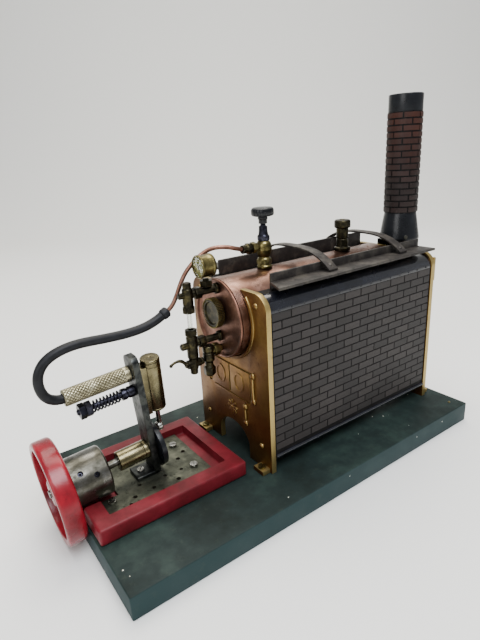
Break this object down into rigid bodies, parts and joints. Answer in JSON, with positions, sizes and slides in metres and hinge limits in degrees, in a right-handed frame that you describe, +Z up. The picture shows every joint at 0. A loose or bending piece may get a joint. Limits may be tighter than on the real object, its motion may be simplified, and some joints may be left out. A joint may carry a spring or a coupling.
{
  "type": "model steam engine",
  "caption": "Toy stationary steam engine on a board: brick-cased copper boiler with chimney, gauge and valves, feeding an oscillating cylinder that turns a red flywheel.",
  "frame": {"origin": "centre of the baseboard's underside", "axes": "+X along the board from the engine to the chimney, +Y across the board, +Z up"},
  "size_m": [0.4183, 0.194, 0.3265],
  "materials": {
    "board_paint": "painted dark green, scuffed",
    "red_paint": "glossy red enamel on cast metal",
    "worn_steel": "bare turned steel, stained",
    "dark_steel": "darkened steel",
    "brass": "dull turned brass",
    "plate_brass": "tarnished pressed brass",
    "copper": "tarnished copper sheet",
    "brick_tin": "tinplate printed with dark bricks",
    "black_paint": "black gloss paint",
    "weathered_iron": "oxidised sheet iron",
    "rubber": "black rubber",
    "glass": "clear glass",
    "dial_card": "printed card"
  },
  "bodies": {
    "frame": {"baseboard": "board_paint", "bed_casting": "red_paint", "sole_plate": "worn_steel", "sole_screw_1": "worn_steel", "sole_screw_2": "worn_steel", "sole_screw_3": "worn_steel", "sole_screw_4": "worn_steel", "pivot_collar": "worn_steel", "engine_standard": "dark_steel", "hose_union": "dark_steel", "crank_bearing": "brass", "steam_inlet_tube": "brass", "filler_plug": "brass", "gauge_case": "brass", "gauge_stem": "brass", "pipe_union_nut": "brass", "stop_valve_body": "brass", "stop_valve_gland": "brass", "sight_glass_top_fitting": "brass", "sight_glass_bottom_fitting": "brass", "check_valve": "brass", "safety_valve_body": "brass", "front_plate": "plate_brass", "back_plate": "plate_brass", "boiler_drum": "copper", "drum_front_end": "copper", "steam_pipe": "copper", "casing_near": "brick_tin", "casing_far": "brick_tin", "chimney_barrel": "brick_tin", "smoke_hood": "black_paint", "chimney_base": "black_paint", "chimney_collar": "black_paint", "near_rail": "weathered_iron", "far_rail": "weathered_iron", "strap_front": "weathered_iron", "strap_rear": "weathered_iron", "steam_hose": "rubber", "sight_glass": "glass", "gauge_dial": "dial_card"},
    "crank": {"crankshaft": "worn_steel", "crank_disc": "black_paint", "crank_pin": "worn_steel", "flywheel": "red_paint", "flywheel_hub": "worn_steel"},
    "oscillating_cylinder": {"cylinder": "brass", "cylinder_top_cover": "brass", "cylinder_gland": "brass", "port_block": "brass", "pivot_bolt": "dark_steel", "pivot_nut": "dark_steel", "pivot_lock_nut": "dark_steel", "pivot_spring": "dark_steel"},
    "piston": {"piston": "worn_steel", "piston_rod": "worn_steel"},
    "valve_spindle": {"stop_valve_spindle": "dark_steel"},
    "valve_handwheel": {"stop_valve_handwheel": "black_paint"},
    "safety_valve": {"safety_valve_cap": "brass"},
    "drain_lever": {"drain_cock_lever": "brass"},
    "gauge_pointer": {"gauge_needle": "black_paint"}
  },
  "joints": [
    {"name": "crank_spin", "type": "hinge", "parent": "frame", "child": "crank", "pos_m": [-0.123, 0.0045, 0.051], "axis": [0.9976, 0, 0.0698], "continuous": true},
    {"name": "cylinder_swing", "type": "hinge", "parent": "frame", "child": "oscillating_cylinder", "pos_m": [-0.12691, 0.0045, 0.10686], "axis": [0.9976, 0, 0.0698], "range_deg": [-19.22, 7.62]},
    {"name": "piston_slide", "type": "slide", "parent": "oscillating_cylinder", "child": "piston", "axis": [0.0694, 0.101, -0.9925], "range_m": [-0.00101, 0.02499]},
    {"name": "stop_valve_lift", "type": "slide", "parent": "frame", "child": "valve_spindle", "axis": [0, 0, 1], "range_m": [0, 0.0015]},
    {"name": "stop_valve_turn", "type": "hinge", "parent": "valve_spindle", "child": "valve_handwheel", "pos_m": [0.001, -0.004, 0.23], "axis": [0, 0, 1], "range_deg": [0, 720]},
    {"name": "safety_valve_lift", "type": "slide", "parent": "frame", "child": "safety_valve", "axis": [0, 0, 1], "range_m": [0, 0.0015], "stiffness_N_per_m": 400, "springref_m": -0.003},
    {"name": "drain_cock_turn", "type": "hinge", "parent": "frame", "child": "drain_lever", "pos_m": [-0.078, -0.004, 0.117], "axis": [1, 0, 0], "range_deg": [0, 90]},
    {"name": "gauge_needle_turn", "type": "hinge", "parent": "frame", "child": "gauge_pointer", "pos_m": [-0.066, -0.004, 0.197], "axis": [1, 0, 0], "range_deg": [-100, 170]}
  ],
  "couplings": [
    {"joint": "stop_valve_turn", "follows": "stop_valve_lift", "rad_per_m": 8377.5}
  ]
}
